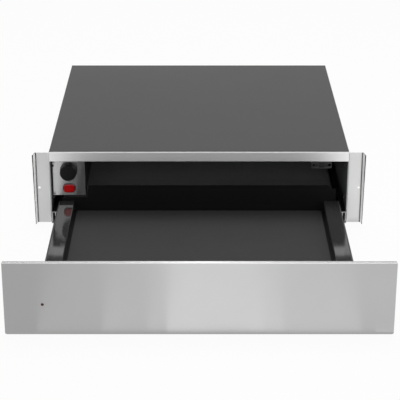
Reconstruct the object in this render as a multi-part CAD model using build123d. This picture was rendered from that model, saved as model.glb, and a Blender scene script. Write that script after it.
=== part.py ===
"""Built-in warming drawer for a 600 mm wide, 140 mm high kitchen niche.

Frame, in millimetres: +X to the right, +Y into the cupboard, +Z up. Y = 0 is the cupboard's
front plane, which the side flanges seat on, Z = 0 is the underside and X = 0 the middle.
The drawer is drawn shut and then placed open, pulled out by its full travel.
"""
from build123d import *
import math
import os

# ------------------------------------------------------------------ driving dimensions
# Casing
body_width = 531.4
body_depth = 526.0
body_height = 137.6
body_sheet = 0.8
hem_width = 12.0
bend_radius = 1.2
base_vent_count = 9
base_vent_pitch = 13.0
base_vent_length = 34.0
vent_width = 5.0
rear_vent_count = 12
rear_vent_length = 60.0

# Stainless front frame
face_sheet = 1.0
rail_height = 19.5
rail_return = 14.0
rail_radius = 1.6
rail_end_clearance = 0.3
cover_setback = 0.6
flange_width = 25.6
flange_height = 133.0
flange_lift = 2.3
flange_return = 20.0
lip_depth = 15.0
lip_splay = 3.2
lip_taper = 5.5
flange_hole_radius = 2.25
flange_hole_inset = 5.8
flange_hole_rise = 0.2

# Ceiling
liner_edge = 12.0
board_clearance = 0.5

# Telescopic slides
slide_height = 18.6
slide_width = 9.5
slide_sheet = 1.2
slide_radius = 1.8
slide_setback = 2.0
slide_rear_gap = 24.0
slide_overlap = 83.0
slide_lift = 0.8
runner_height = 9.2
runner_lip = 5.2
runner_gap = 2.0
ball_clearance = 0.25
cage_inset = 2.5
cage_sheet = 0.8
cage_gap = 0.5
cage_hole_clearance = 0.15
ball_count = 8
ball_pitch = 9.0
race_inset = 3.7
rivet_radius = 2.0
rivet_head = 3.4
rivet_head_height = 1.2
rivet_dome = 0.72
rivet_count = 3
rivet_inset = 14.0

# Drawer
drawer_rear_gap = 10.0
tray_floor = 17.0
tray_front_lip = 16.0
tray_rear_lip = 13.0
arm_top = 36.0
arm_width = 28.4
arm_drop = 28.0
arm_radius = 1.5
arm_end_gap = 0.5
mat_thickness = 2.0
mat_margin = 4.0
mat_corner = 6.0
rear_wall_inset = 6.4
rear_wall_top = 65.5
rear_wall_bottom = 9.0
rear_corner_top = 59.0
rear_corner_width = 15.0
rear_notch_gap = 3.3
rear_notch_side = 2.0
rear_notch_slope = 4.0

# Drawer front
panel_overhang = 6.2
panel_rise = 2.9
panel_lift = 0.8
panel_return = 6.0
panel_corner = 3.0
panel_edge = 0.9
panel_front_gap = 23.6
corner_notch = 1.4
carrier_lip_gap = 7.3
carrier_drop = 7.0
carrier_bottom = 8.0
carrier_gap = 4.2
bumper_radius = 4.0
bumper_clearance = 0.3
bumper_inset = 7.0
bumper_rise = 10.0
bumper_edge = 1.2
pilot_shift = 4.5
pilot_drop = 7.8
pilot_radius = 2.3
pilot_clearance = 0.1
pilot_reach = 3.0
pilot_proud = 0.4
pilot_edge = 0.35
holder_radius = 5.0

# Controls
control_width = 59.9
control_inset = 2.1
control_bottom = 46.1
control_setback = 21.6
control_depth = 169.4
knob_inset = 28.6
knob_radius = 15.6
knob_front_radius = 14.4
knob_depth = 15.6
knob_gap = 0.5
knob_edge = 1.2
pointer_width = 1.2
pointer_length = 6.0
pointer_depth = 0.5
shaft_radius = 3.0
shaft_clearance = 0.08
shaft_hole_clearance = 1.0
shaft_flat = 2.2
shaft_seat = 10.0
shaft_end_gap = 1.0
thermostat_width = 34.0
thermostat_height = 36.0
thermostat_depth = 27.0
thermostat_bore = 20.0
thermostat_corner = 2.0
thermostat_tab_pitch = 16.0
thermostat_tab_width = 6.0
thermostat_tab_length = 8.0
thermostat_tab_drop = 7.0
tab_sheet = 0.8
switch_inset = 28.9
switch_rise = 13.3
switch_width = 21.0
switch_opening_height = 15.6
switch_corner = 6.1
switch_wall = 0.45
switch_rim_width = 0.8
switch_rim_depth = 1.2
switch_rim_edge = 0.5
switch_body_depth = 22.0
switch_cavity_depth = 12.0
rocker_clearance = 0.35
rocker_proud = 4.2
rocker_back = 5.0
rocker_edge = 0.9
rocker_tilt = 5.0

# Push-to-open latch
latch_inset = 46.6
latch_drop = 8.1
latch_plate_width = 36.0
latch_plate_height = 11.8
latch_plate_sheet = 1.2
latch_plate_radius = 1.8
latch_setback = 4.0
latch_foot = 30.0
latch_slot_width = 10.4
latch_slot_height = 5.0
latch_bar = 1.2
latch_window_width = 10.0
latch_window_height = 8.6
latch_body_width = 24.0
latch_body_height = 14.5
latch_body_depth = 41.0
latch_body_wall = 4.0
plunger_radius = 3.6
plunger_clearance = 0.3
plunger_length = 28.0
plunger_edge = 0.8
striker_clearance = 0.3
striker_reach = 9.6
striker_width = 8.0
striker_thickness = 3.0
striker_drop = 2.0
striker_foot_width = 18.0
striker_foot_height = 16.0

# Fan heater behind the bay
heater_bay = 80.0
baffle_side_gap = 1.4
baffle_hem = 10.0
grille_rows = 9
grille_pitch = 8.0
grille_inset = 4.0
grille_slot = 4.0
outlet_count = 6
outlet_length = 44.0
outlet_inset = 70.0
impeller_clearance = 7.8
impeller_depth = 18.0
impeller_gap = 5.2
impeller_sheet = 1.2
impeller_rim = 6.0
blade_count = 18
blade_length = 15.0
blade_angle = 35.0
blade_sheet = 0.9
hub_radius = 8.0
hub_length = 8.0
blade_inset = 1.0
fan_shaft_radius = 3.0
fan_shaft_length = 56.0
fan_shaft_inset = 1.0
bearing_clearance = 0.06
bracket_gap = 32.0
bracket_sheet = 1.2
bracket_bend = 1.8
bracket_width = 128.0
bracket_drop = 13.1
bracket_foot = 16.0
stator_width = 64.0
stator_height = 66.0
stator_depth = 18.0
stator_leg = 10.0
stator_rise = 19.8
stator_eye = 5.0
rotor_inset = 1.0
rotor_radius = 13.0
rotor_gap = 0.3
coil_width = 36.0
coil_wall = 6.0
coil_edge = 3.6
coil_clearance = 1.0
bridge_sheet = 2.0
bridge_standoff = 6.0
bridge_height = 16.0
bridge_foot = 5.0
heater_ring_clearance = 2.95
heater_radius = 3.2
heater_gap_angle = 18.0
heater_bend = 6.0
heater_clearance = 0.2
heater_tail = 10.0
cutout_x = 96.0
cutout_rise = 32.05
cutout_radius = 8.0
cutout_depth = 8.0
cutout_ear = 24.0
cutout_ear_height = 8.0
cutout_ear_sheet = 1.0
cutout_tab = 6.0
cutout_tab_pitch = 8.0

# Mains connection
terminal_inset = 99.9
terminal_width = 50.0
terminal_depth = 22.0
terminal_height = 23.0
terminal_gap = 10.0
pole_count = 3
pole_radius = 2.2
pole_depth = 6.0
terminal_corner = 1.5
gland_inset = 49.9
gland_height = 30.0
gland_bore = 3.6
gland_body = 7.0
gland_flange = 10.0
gland_flange_depth = 2.5
gland_length = 16.0
gland_inside = 6.0
gland_edge = 1.0
loom_radius = 2.5
loom_inset = 20.9
loom_drop = 15.1
loom_lead_out = 30.0
loom_clip = 45.0
loom_reach = 33.0
loom_bow = 2.0
loom_sag = 4.0
loom_turn = 22.0
loom_fall = 26.0
loom_plunge = 24.0
loom_entry = 15.4
loom_bend_share = 0.45
loom_bend_most = 400.0
grommet_neck = 5.0
grommet_radius = 7.0
grommet_rim = 8.0
grommet_length = 5.0
grommet_clearance = 0.1

# Fasteners
screw_radius = 1.8
screw_head = 3.6
screw_head_height = 2.0
screw_length = 7.0
screw_dome = 1.0
recess_width = 1.0
recess_length = 4.0
recess_depth = 1.0
rear_screw_inset = 21.0
flange_screw_setback = 12.0
flange_screw_rise = 24.4
flange_screw_drop = 13.0

# How far a cut runs past the faces it goes through
past = 1.0

# ------------------------------------------------------------------ shared places
wall_outer = body_width / 2
wall_inner = wall_outer - body_sheet
floor_top = body_sheet
cover_bottom = body_height - body_sheet
rail_bottom = body_height - rail_height
ceiling = rail_bottom + face_sheet
rear_inside = body_depth - body_sheet
hem_edge = wall_outer - hem_width
rear_screw_x = (hem_edge + wall_inner) / 2
flange_fold = wall_outer + flange_width
flange_hole_x = flange_fold - flange_hole_inset
flange_hole_height = flange_lift + flange_height / 2 + flange_hole_rise
rear_screw_heights = (floor_top + rear_screw_inset, cover_bottom - rear_screw_inset)
baffle_setback = body_depth - heater_bay
drawer_depth = baffle_setback - drawer_rear_gap
slide_length = body_depth - slide_rear_gap - slide_setback
drawer_travel = slide_length - slide_overlap
cage_length = slide_overlap - 2 * cage_inset
cage_front = slide_setback + drawer_travel / 2 + cage_inset

slide_bottom = floor_top + body_sheet + slide_lift
slide_top = slide_bottom + slide_height
slide_middle = (slide_bottom + slide_top) / 2
flange_screw_heights = (slide_top + flange_screw_rise, ceiling - flange_screw_drop)
slide_mouth = wall_inner - slide_width
runner_top = slide_middle + runner_height / 2
runner_bottom = slide_middle - runner_height / 2
race_gap = slide_top - slide_sheet - runner_top
ball_radius = race_gap / 2 - ball_clearance
arm_outer = slide_mouth - runner_gap
arm_inner = arm_outer - arm_width
runner_edge = arm_outer + runner_lip
ball_x = arm_outer + race_inset
ball_heights = (runner_top + race_gap / 2, runner_bottom - race_gap / 2)

rear_wall_width = 2 * (arm_outer - rear_wall_inset)
baffle_width = 2 * (arm_outer - baffle_side_gap)

carrier_back = -face_sheet - carrier_gap
carrier_width = 2 * (flange_fold - carrier_lip_gap)
panel_width = 2 * (flange_fold + panel_overhang)
panel_front = -face_sheet - panel_front_gap
panel_inside = panel_front + face_sheet
panel_top = rail_bottom + panel_rise
panel_height = panel_top - panel_lift
carrier_top = panel_top - carrier_drop
tray_start = carrier_back + body_sheet
tray_end = drawer_depth - body_sheet

control_left = -wall_inner + control_inset
control_right = -wall_inner + control_width
housing_front = control_setback + face_sheet
housing_back = housing_front + control_depth
knob_front = control_setback - knob_gap - knob_depth
knob_back = control_setback - knob_gap
knob_x = control_left + knob_inset
switch_x = control_left + switch_inset
switch_height = control_bottom + switch_rise
switch_top = switch_height + switch_opening_height / 2 + switch_wall
knob_height = (switch_top + ceiling) / 2
pilot_x = switch_x - pilot_shift
pilot_height = switch_height - pilot_drop

latch_x = wall_inner - latch_inset
latch_height = rail_bottom - latch_drop
latch_front = latch_setback
striker_tip = carrier_back + striker_reach
plunger_front = striker_tip + striker_clearance
latch_body_front = latch_front + latch_plate_sheet
latch_body_back = latch_body_front + latch_body_depth

bracket_setback = baffle_setback + bracket_gap
bracket_back = bracket_setback + bracket_sheet
bay_height = ceiling - floor_top
fan_height = floor_top + bay_height / 2
heater_ring_radius = bay_height / 2 - heater_ring_clearance - heater_radius
impeller_radius = heater_ring_radius - heater_radius - impeller_clearance
blade_inner_radius = impeller_radius - blade_length
grille_radius = impeller_radius - grille_inset
bracket_top = ceiling - bracket_drop
cutout_height = fan_height + cutout_rise
impeller_front = baffle_setback + body_sheet + impeller_gap
impeller_back = impeller_front + impeller_depth
shaft_front = impeller_front + fan_shaft_inset
stator_top = fan_height + stator_rise
stator_bottom = stator_top - stator_height
stator_back = bracket_back + stator_depth
coil_bottom = stator_bottom - coil_wall
coil_top = stator_bottom + stator_leg + coil_wall
terminal_back = rear_inside - terminal_gap
terminal_front = terminal_back - terminal_depth
terminal_top = floor_top + terminal_height
terminal_x = terminal_inset - wall_inner
gland_x = gland_inset - wall_inner
loom_x = loom_inset - wall_inner
loom_height = ceiling - loom_drop
loom_end_x = terminal_x - terminal_width / 4


RIGHT = (1, 0, 0)
BACK = (0, 1, 0)
UP = (0, 0, 1)


# ------------------------------------------------------------------ shape helpers
def slab(x, y, z):
    """A block between the (low, high) pairs x, y and z."""
    low = (x[0], y[0], z[0])
    size = (x[1] - x[0], y[1] - y[0], z[1] - z[0])
    return Pos(*low) * Box(*size, align=(Align.MIN, Align.MIN, Align.MIN))


def rod(start, axis, radius, length):
    """A round bar from start along the unit vector axis."""
    circle = Plane(origin=start, z_dir=axis) * Circle(radius)
    return extrude(circle, length)


def drilled(start, axis, radius, depth):
    """The round cut for a hole of this depth, run past both of its ends."""
    return rod(Vector(*start) - Vector(*axis) * past, axis, radius, depth + 2 * past)


def through(low, high):
    """A (low, high) pair run past both of its ends, for a cut."""
    return low - past, high + past


def around(middle, size):
    """The (low, high) pair of a size centred on middle."""
    return middle - size / 2, middle + size / 2


def folded(points, sheet=body_sheet, radius=bend_radius):
    """Section of a folded sheet: the points follow one face and the metal lies to their left.

    The radius is the outside radius of every bend.
    """
    path = [Vector(*point) for point in points]
    runs = [(after - before).normalized() for before, after in zip(path, path[1:])]
    left = [Vector(-run.Y, run.X) for run in runs]
    other = [path[0] + left[0] * sheet]
    near_radii = [0]
    far_radii = [0]
    for corner, before, after in zip(path[1:], left, left[1:]):
        other.append(corner + (before + after) * (sheet / (1 + before.dot(after))))
        turns_left = before.X * after.Y - before.Y * after.X > 0
        near_radii.append(radius if turns_left else radius - sheet)
        far_radii.append(radius - sheet if turns_left else radius)
    other.append(path[-1] + left[-1] * sheet)
    radii = near_radii + [0, 0] + far_radii[:0:-1] + [0]
    return make_face(FilletPolyline(*path, *reversed(other), radius=radii, close=True))


def along_x(section, start, end):
    """A section drawn in (Y, Z), extruded from X = start to X = end."""
    return extrude(Plane.YZ.offset(start) * section, end - start)


def along_y(section, start, end):
    """A section drawn in (X, Z), extruded from Y = start to Y = end."""
    return extrude(Plane.XZ.offset(-start) * section, start - end)


def along_z(section, start, end):
    """A section drawn in (X, Y), extruded from Z = start to Z = end."""
    return extrude(Plane.XY.offset(start) * section, end - start)


def mirrored(shape):
    """The left-hand copy of a right-hand piece."""
    return mirror(shape, Plane.YZ)


def spread(count, pitch):
    """Evenly spaced offsets about zero."""
    return [(index - (count - 1) / 2) * pitch for index in range(count)]


# ------------------------------------------------------------------ casing
def base_panel():
    plate = slab((-wall_outer, wall_outer), (-face_sheet, body_depth), (0, body_sheet))
    middle = (baffle_setback + body_depth) / 2
    for x in spread(base_vent_count, base_vent_pitch):
        plate -= slab(around(x, vent_width), around(middle, base_vent_length), through(0, body_sheet))
    return plate


def rivet_spots():
    """Y of the rivets that hold each slide to its side panel."""
    first = flange_return + rivet_inset
    last = slide_setback + slide_length - rivet_inset
    return [(first + last) / 2 + y for y in spread(rivet_count, (last - first) / (rivet_count - 1))]


def side_panel():
    section = folded([(hem_edge, floor_top), (wall_outer, floor_top),
                      (wall_outer, cover_bottom), (hem_edge, cover_bottom)])
    panel = along_y(section, 0, rear_inside)
    panel += slab((hem_edge, wall_inner), (rear_inside - body_sheet, rear_inside),
                  (floor_top + body_sheet, cover_bottom - body_sheet))
    for y in rivet_spots():
        panel -= drilled((wall_inner, y, slide_middle), RIGHT, rivet_radius, body_sheet)
    for z in rear_screw_heights:
        panel -= drilled((rear_screw_x, rear_inside - body_sheet, z), BACK, screw_radius, body_sheet)
    for z in flange_screw_heights:
        panel -= drilled((wall_inner, flange_screw_setback, z), RIGHT, screw_radius, body_sheet)
    return panel


def rear_panel():
    plate = slab((-wall_outer, wall_outer), (rear_inside, body_depth), (floor_top, cover_bottom))
    middle = (floor_top + cover_bottom) / 2
    for x in spread(rear_vent_count, 2 * vent_width):
        plate -= slab(around(x, vent_width), through(rear_inside, body_depth),
                      around(middle, rear_vent_length))
    plate -= drilled((gland_x, rear_inside, gland_height), BACK, gland_body, body_sheet)
    for x in (-rear_screw_x, rear_screw_x):
        for z in rear_screw_heights:
            plate -= drilled((x, rear_inside, z), BACK, screw_radius, body_sheet)
    return plate


def top_panel():
    return slab((-wall_outer, wall_outer), (cover_setback, body_depth), (cover_bottom, body_height))


def top_rail():
    section = folded([(rail_return, cover_bottom), (-face_sheet, cover_bottom),
                      (-face_sheet, rail_bottom), (rail_return, rail_bottom)], face_sheet, rail_radius)
    rail = along_x(section, -wall_outer, wall_outer)
    edge = hem_edge - rail_end_clearance
    for reach in ((-wall_outer - past, -edge), (edge, wall_outer + past)):
        rail -= slab(reach, (0, rail_return + past), (rail_bottom - past, body_height))
    return rail


def side_flange():
    tip = (flange_fold + lip_splay, -face_sheet - lip_depth)
    section = folded([tip, (flange_fold, 0), (wall_outer + face_sheet, 0),
                      (wall_outer + face_sheet, flange_return)],
                     face_sheet, rail_radius)
    bottom = flange_lift
    top = flange_lift + flange_height
    flange = along_z(section, bottom, top)
    front = -face_sheet - lip_depth
    taper = Polygon((front, top), (front - past, top), (front - past, bottom - past),
                    (front + lip_taper, bottom - past), (front + lip_taper, bottom), align=None)
    flange -= along_x(taper, *through(wall_outer, flange_fold + lip_splay))
    flange -= drilled((flange_hole_x, -face_sheet, flange_hole_height), BACK, flange_hole_radius, face_sheet)
    for z in flange_screw_heights:
        flange -= drilled((wall_outer, flange_screw_setback, z), RIGHT, screw_radius, face_sheet)
    return flange


def ceiling_liner():
    section = folded([(-wall_inner, ceiling + liner_edge), (-wall_inner, ceiling),
                      (wall_inner, ceiling), (wall_inner, ceiling + liner_edge)])
    return along_y(section, rail_radius, rear_inside - body_sheet)


def insulation_board():
    edge = wall_inner - body_sheet - board_clearance
    return slab((-edge, edge), (rail_return + board_clearance, rear_inside - body_sheet - board_clearance),
                (ceiling + body_sheet, cover_bottom - face_sheet - board_clearance))


# ------------------------------------------------------------------ slides
def slide_rail():
    section = folded([(slide_mouth, slide_bottom), (wall_inner, slide_bottom),
                      (wall_inner, slide_top), (slide_mouth, slide_top)], slide_sheet, slide_radius)
    rail = along_y(section, slide_setback, slide_setback + slide_length)
    for y in rivet_spots():
        rail -= drilled((wall_inner - slide_sheet, y, slide_middle), RIGHT, rivet_radius, slide_sheet)
    return rail


def slide_rivets():
    group = []
    for y in rivet_spots():
        shank = rod((wall_inner - slide_sheet, y, slide_middle), RIGHT, rivet_radius,
                    slide_sheet + body_sheet)
        head = rod((wall_outer, y, slide_middle), RIGHT, rivet_head, rivet_head_height)
        head = fillet(head.edges().filter_by(GeomType.CIRCLE).sort_by(Axis.X)[-1], rivet_dome)
        group.append(shank + head)
    return Compound(children=group + [mirrored(piece) for piece in group])


def slide_runner():
    section = folded([(runner_edge, runner_top), (arm_outer, runner_top),
                      (arm_outer, runner_bottom), (runner_edge, runner_bottom)], slide_sheet, slide_radius)
    return along_y(section, slide_setback, slide_setback + slide_length)


def ball_spots():
    middle = cage_front + cage_length / 2
    return [(ball_x, middle + y, z) for z in ball_heights for y in spread(ball_count, ball_pitch)]


def ball_cage():
    web = runner_edge + cage_gap + cage_sheet
    low = ball_heights[1] - cage_sheet / 2
    high = ball_heights[0] + cage_sheet / 2
    mouth = arm_outer + slide_sheet + cage_gap
    section = folded([(mouth, low), (web, low), (web, high), (mouth, high)], cage_sheet, bend_radius)
    cage = along_y(section, cage_front, cage_front + cage_length)
    for x, y, z in ball_spots():
        cage -= rod((x, y, z - cage_sheet), UP, ball_radius + cage_hole_clearance, 2 * cage_sheet)
    return cage


def slide_balls():
    return Compound(children=[Pos(*spot) * Sphere(ball_radius) for spot in ball_spots()])


# ------------------------------------------------------------------ drawer, drawn shut
def tray():
    section = folded([(carrier_back, tray_floor + tray_front_lip), (carrier_back, tray_floor - body_sheet),
                      (drawer_depth, tray_floor - body_sheet), (drawer_depth, tray_floor + tray_rear_lip)])
    return along_x(section, -(arm_outer - body_sheet), arm_outer - body_sheet)


def side_arm():
    section = folded([(arm_outer, arm_top - arm_drop), (arm_outer, arm_top),
                      (arm_inner, arm_top), (arm_inner, tray_floor)], body_sheet, arm_radius)
    return along_y(section, tray_start + arm_end_gap, tray_end - arm_end_gap)


def rear_wall():
    edge = rear_wall_width / 2
    notch_x = control_right + rear_notch_side
    notch_top = control_bottom - rear_notch_gap
    slope = rear_wall_top - rear_corner_top
    outline = Polyline((-edge, rear_wall_bottom), (edge, rear_wall_bottom), (edge, rear_corner_top),
                       (edge - rear_corner_width + slope, rear_corner_top),
                       (edge - rear_corner_width, rear_wall_top),
                       (notch_x + rear_notch_slope, rear_wall_top), (notch_x, notch_top),
                       (-edge, notch_top), close=True)
    return along_y(make_face(outline), drawer_depth, drawer_depth + body_sheet)


def slip_mat():
    edge = arm_inner - mat_margin
    depth = tray_end - tray_start - 2 * mat_margin
    outline = Pos(0, (tray_start + tray_end) / 2) * RectangleRounded(2 * edge, depth, mat_corner)
    return along_z(outline, tray_floor, tray_floor + mat_thickness)


def front_carrier():
    section = folded([(panel_inside, carrier_bottom), (carrier_back, carrier_bottom),
                      (carrier_back, carrier_top), (panel_inside, carrier_top)])
    carrier = along_x(section, -carrier_width / 2, carrier_width / 2)
    return carrier - drilled((pilot_x, carrier_back - body_sheet, pilot_height), BACK,
                             pilot_radius + pilot_clearance, body_sheet)


def front_panel():
    middle = panel_lift + panel_height / 2
    face = Pos(0, middle) * Rectangle(panel_width, panel_height)
    face = fillet(face.vertices().sort_by(Axis.Y)[:2], panel_corner)
    hollow = offset(face, -face_sheet)
    panel = along_y(face, panel_front, panel_front + panel_return)
    panel = fillet(panel.faces().sort_by(Axis.Y)[0].edges(), panel_edge)
    panel -= along_y(hollow, panel_inside, panel_front + panel_return + past)
    edge = panel_width / 2
    for corner in ((-edge - past, corner_notch - edge), (edge - corner_notch, edge + past)):
        panel -= slab(corner, (panel_inside, panel_front + panel_return + past),
                      (panel_top - corner_notch, panel_top + past))
    return panel - drilled((pilot_x, panel_front, pilot_height), BACK,
                           pilot_radius + pilot_clearance, face_sheet)


def pilot_lens():
    front = panel_front - pilot_proud
    lens = rod((pilot_x, front, pilot_height), BACK, pilot_radius, carrier_back + pilot_reach - front)
    return fillet(lens.edges().filter_by(GeomType.CIRCLE), pilot_edge)


def lens_holder():
    length = carrier_back - body_sheet - panel_inside
    holder = rod((pilot_x, panel_inside, pilot_height), BACK, holder_radius, length)
    return holder - drilled((pilot_x, panel_inside, pilot_height), BACK,
                            pilot_radius + pilot_clearance, length)


def bumpers():
    x = carrier_width / 2 - bumper_inset
    length = carrier_gap - bumper_clearance
    group = []
    for side in (-1, 1):
        for z in (carrier_bottom + bumper_rise, carrier_top - bumper_rise):
            pad = rod((side * x, carrier_back, z), BACK, bumper_radius, length)
            group.append(fillet(pad.edges().filter_by(GeomType.CIRCLE).sort_by(Axis.Y)[-1], bumper_edge))
    return Compound(children=group)


def latch_striker():
    low, high = around(latch_height - striker_drop, striker_thickness)
    foot = slab(around(latch_x, striker_foot_width), (carrier_back, carrier_back + latch_plate_sheet),
                (high - striker_foot_height, high))
    tongue = slab(around(latch_x, striker_width), (carrier_back, striker_tip), (low, high))
    tongue = fillet(tongue.edges().filter_by(Axis.Z).sort_by(Axis.Y)[-2:], striker_width / 4)
    return foot + tongue


# ------------------------------------------------------------------ controls
def control_housing():
    section = folded([(-wall_inner, ceiling), (-wall_inner, control_bottom), (control_right, control_bottom),
                      (control_right, ceiling), (control_right - hem_width / 2, ceiling)])
    shell = along_y(section, housing_front, housing_back)
    back = slab((-wall_inner, control_right), (housing_back - body_sheet, housing_back),
                (control_bottom + bend_radius, ceiling - bend_radius))
    hole = drilled((loom_x, housing_back - body_sheet, loom_height), BACK, grommet_neck, body_sheet)
    return shell + back - hole


def control_plate():
    plate = slab((control_left, control_right), (control_setback, housing_front), (control_bottom, ceiling))
    plate -= drilled((knob_x, control_setback, knob_height), BACK,
                     shaft_radius + shaft_hole_clearance, face_sheet)
    opening = switch_outline(switch_wall, switch_corner)
    return plate - along_y(opening, *through(control_setback, housing_front))


def switch_outline(border, corner):
    """The switch's rounded outline with a border outside its opening."""
    outline = RectangleRounded(switch_width + 2 * border, switch_opening_height + 2 * border, corner)
    return Pos(switch_x, switch_height) * outline


def d_shaft(radius, flat, start, length):
    """A round shaft with one flat, its flat upwards, on the knob's axis."""
    circle = Pos(knob_x, knob_height) * Circle(radius)
    flat_side = Pos(knob_x, knob_height + flat + radius) * Rectangle(4 * radius, 2 * radius)
    return along_y(circle - flat_side, start, start + length)


def thermostat():
    back = housing_front + thermostat_depth
    body = slab(around(knob_x, thermostat_width), (housing_front, back),
                around(knob_height, thermostat_height))
    body = fillet(body.edges().filter_by(Axis.Y), thermostat_corner)
    for x in spread(2, thermostat_tab_pitch):
        body += slab(around(knob_x + x, tab_sheet), (back - past, back + thermostat_tab_length),
                     around(knob_height - thermostat_tab_drop, thermostat_tab_width))
    return body - rod((knob_x, housing_front - past, knob_height), BACK,
                      shaft_radius + shaft_clearance, thermostat_bore + past)


def thermostat_shaft():
    start = knob_back - shaft_seat
    end = housing_front + thermostat_bore - shaft_end_gap
    return d_shaft(shaft_radius, shaft_flat, start, end - start)


def thermostat_knob():
    centre = Pos(knob_x, knob_height)
    body = loft([Plane.XZ.offset(-knob_front) * centre * Circle(knob_front_radius),
                 Plane.XZ.offset(-knob_back) * centre * Circle(knob_radius)])
    rim = body.edges().filter_by(GeomType.CIRCLE).sort_by(Axis.Y)[0]
    body = fillet(rim, knob_edge)
    body -= d_shaft(shaft_radius + shaft_clearance, shaft_flat + shaft_clearance,
                    knob_back - shaft_seat, shaft_seat + past)
    tip = knob_height + knob_front_radius - knob_edge
    return body - slab(around(knob_x, pointer_width), (knob_front - past, knob_front + pointer_depth),
                       (tip - pointer_length, tip))


def switch_frame():
    opening = switch_outline(0, switch_corner)
    neck = switch_outline(switch_wall, switch_corner)
    rim = switch_outline(switch_rim_width, switch_corner + 2 * switch_wall)
    front = control_setback - switch_rim_depth
    frame = along_y(rim, front, control_setback)
    frame = fillet(frame.faces().sort_by(Axis.Y)[0].edges(), switch_rim_edge)
    frame += along_y(neck, front + switch_rim_depth / 2, housing_front + switch_body_depth)
    return frame - along_y(opening, front - past, housing_front + switch_cavity_depth)


def rocker():
    """Drum-ended key on a vertical pivot level with the plate's back, its right end pressed in."""
    radius = switch_width / 2 - rocker_clearance
    height = switch_opening_height - 2 * rocker_clearance
    drum = Pos(0, 0, -height / 2) * Cylinder(radius, height, align=(Align.CENTER, Align.CENTER, Align.MIN))
    key = drum & slab((-radius, radius), (-rocker_proud, rocker_back), (-height, height))
    outline = RectangleRounded(2 * radius, height, switch_corner - rocker_clearance)
    key = key & along_y(outline, -2 * radius, 2 * radius)
    front = key.faces().filter_by(Axis.Y).sort_by(Axis.Y)[0]
    key = fillet(front.edges(), rocker_edge)
    return Pos(switch_x, housing_front, switch_height) * Rot(0, 0, rocker_tilt) * key


# ------------------------------------------------------------------ latch
def latch_bracket():
    low = latch_height - latch_plate_height / 2
    section = folded([(latch_front + latch_foot, rail_bottom), (latch_front, rail_bottom),
                      (latch_front, low)], latch_plate_sheet, latch_plate_radius)
    plate = along_x(section, *around(latch_x, latch_plate_width))
    reach = through(latch_front, latch_body_front)
    for x in spread(2, latch_window_width + latch_slot_width + 2 * latch_bar):
        plate -= slab(around(latch_x + x, latch_slot_width), reach, around(latch_height, latch_slot_height))
    return plate - slab(around(latch_x, latch_window_width), reach, around(latch_height, latch_window_height))


def latch_housing():
    top = rail_bottom - latch_plate_sheet
    body = slab(around(latch_x, latch_body_width), (latch_body_front, latch_body_back),
                (top - latch_body_height, top))
    body = fillet(body.edges().filter_by(Axis.X), latch_plate_radius - latch_plate_sheet)
    return body - rod((latch_x, latch_body_front - past, latch_height), BACK,
                      plunger_radius + plunger_clearance, latch_body_depth - latch_body_wall + past)


def latch_plunger():
    pin = rod((latch_x, plunger_front, latch_height), BACK, plunger_radius, plunger_length)
    return fillet(pin.edges().filter_by(GeomType.CIRCLE).sort_by(Axis.Y)[0], plunger_edge)


# ------------------------------------------------------------------ fan heater
def air_baffle():
    back = baffle_setback + baffle_hem
    section = folded([(back, ceiling), (baffle_setback, ceiling), (baffle_setback, floor_top),
                      (back, floor_top)])
    plate = along_x(section, -baffle_width / 2, baffle_width / 2)
    reach = through(baffle_setback, baffle_setback + body_sheet)
    for row in spread(grille_rows, grille_pitch):
        half = math.sqrt(max(grille_radius ** 2 - row ** 2, grille_slot ** 2))
        plate -= slab((-half, half), reach, around(fan_height + row, grille_slot))
    for x in spread(2, baffle_width - 2 * outlet_inset):
        for row in spread(outlet_count, grille_pitch):
            plate -= slab(around(x, outlet_length), reach, around(fan_height + row, grille_slot))
    return plate - drilled((loom_x, baffle_setback, loom_height), BACK, grommet_neck, body_sheet)


def fan_bracket():
    section = folded([(bracket_back - bracket_foot, floor_top), (bracket_back, floor_top),
                      (bracket_back, bracket_top)], bracket_sheet, bracket_bend)
    plate = along_x(section, -bracket_width / 2, bracket_width / 2)
    plate -= drilled((0, bracket_setback, fan_height), BACK,
                     fan_shaft_radius + bearing_clearance, bracket_sheet)
    plate -= slab(around(0, coil_width + 2 * coil_clearance), through(bracket_setback, bracket_back),
                  (coil_bottom - coil_clearance, coil_top + coil_clearance))
    for end in heater_ends():
        plate -= drilled((end.X, bracket_setback, end.Z), BACK,
                         heater_radius + heater_clearance, bracket_sheet)
    return plate


def motor_stator():
    body = slab(around(0, stator_width), (bracket_back, stator_back), (stator_bottom, stator_top))
    body -= slab(around(0, stator_width - 2 * stator_leg), through(bracket_back, stator_back),
                 (stator_bottom + stator_leg, fan_height - rotor_radius - stator_eye))
    return body - drilled((0, bracket_back, fan_height), BACK, rotor_radius + rotor_gap, stator_depth)


def motor_coil():
    block = slab(around(0, coil_width), (bracket_back - coil_wall, stator_back + coil_wall),
                 (coil_bottom, coil_top))
    block = fillet(block.edges().filter_by(Axis.X), coil_edge)
    return block - slab(around(0, coil_width + 2 * past), (bracket_back, stator_back),
                        (stator_bottom, stator_bottom + stator_leg))


def motor_rotor():
    length = stator_depth - 2 * rotor_inset
    start = (0, bracket_back + rotor_inset, fan_height)
    return rod(start, BACK, rotor_radius, length) - drilled(start, BACK, fan_shaft_radius, length)


def bearing_bridge():
    back = stator_back + bridge_standoff + bridge_sheet
    height = around(fan_height, bridge_height)
    strap = slab(around(0, stator_width), (stator_back, back), height)
    strap -= slab(around(0, stator_width - 2 * bridge_foot), (stator_back - past, back - bridge_sheet),
                  through(*height))
    return strap - drilled((0, stator_back, fan_height), BACK, fan_shaft_radius + bearing_clearance,
                           back - stator_back)


def fan_shaft():
    return rod((0, shaft_front, fan_height), BACK, fan_shaft_radius, fan_shaft_length)


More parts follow.
